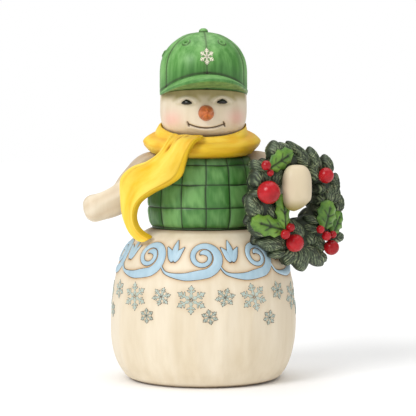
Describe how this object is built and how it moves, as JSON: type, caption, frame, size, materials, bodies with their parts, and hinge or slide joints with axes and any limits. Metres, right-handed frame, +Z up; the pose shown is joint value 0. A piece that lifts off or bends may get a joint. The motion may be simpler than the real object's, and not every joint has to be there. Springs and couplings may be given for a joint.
{
  "type": "snowman figurine",
  "caption": "Painted resin snowman figurine in a cap, checked vest and scarf, with a berry wreath hung on one arm.",
  "frame": {"origin": "centre of the flat underside, on the surface that the figurine stands on", "axes": "+Z up, the figurine's face looks along -Y, and +X runs towards the arm with the wreath"},
  "size_m": [0.1486, 0.1018, 0.2],
  "materials": {
    "snow_paint": "hand-painted cream resin with a soft satin sheen",
    "vest_paint": "brushed mid-green paint with dark scored lines",
    "cap_paint": "brushed green paint with pale streaks",
    "scarf_paint": "yellow paint with orange wash in the folds",
    "carrot_paint": "orange paint with a brown wash",
    "bead_paint": "glossy black enamel",
    "pine_paint": "grey-green paint, dry-brushed pale on the scored needles",
    "holly_paint": "leaf-green paint with dark veins",
    "berry_paint": "glossy red enamel"
  },
  "bodies": {
    "root": {"snow_body": "snow_paint", "vest": "vest_paint", "head": "snow_paint", "cap_crown": "cap_paint", "cap_brim": "cap_paint", "cap_button": "cap_paint", "nose": "carrot_paint", "eye_right": "bead_paint", "eye_left": "bead_paint", "scarf_wrap": "scarf_paint", "scarf_tail": "scarf_paint", "arm_right": "snow_paint", "arm_left": "snow_paint", "wreath_greens": "pine_paint", "holly_leaf_1": "holly_paint", "holly_leaf_2": "holly_paint", "holly_leaf_3": "holly_paint", "holly_leaf_4": "holly_paint", "holly_leaf_5": "holly_paint", "berry_1": "berry_paint", "berry_2": "berry_paint", "berry_3": "berry_paint", "berry_4": "berry_paint", "berry_5": "berry_paint", "berry_6": "berry_paint", "berry_7": "berry_paint", "berry_8": "berry_paint", "berry_9": "berry_paint", "berry_10": "berry_paint", "berry_11": "berry_paint"}
  },
  "joints": []
}
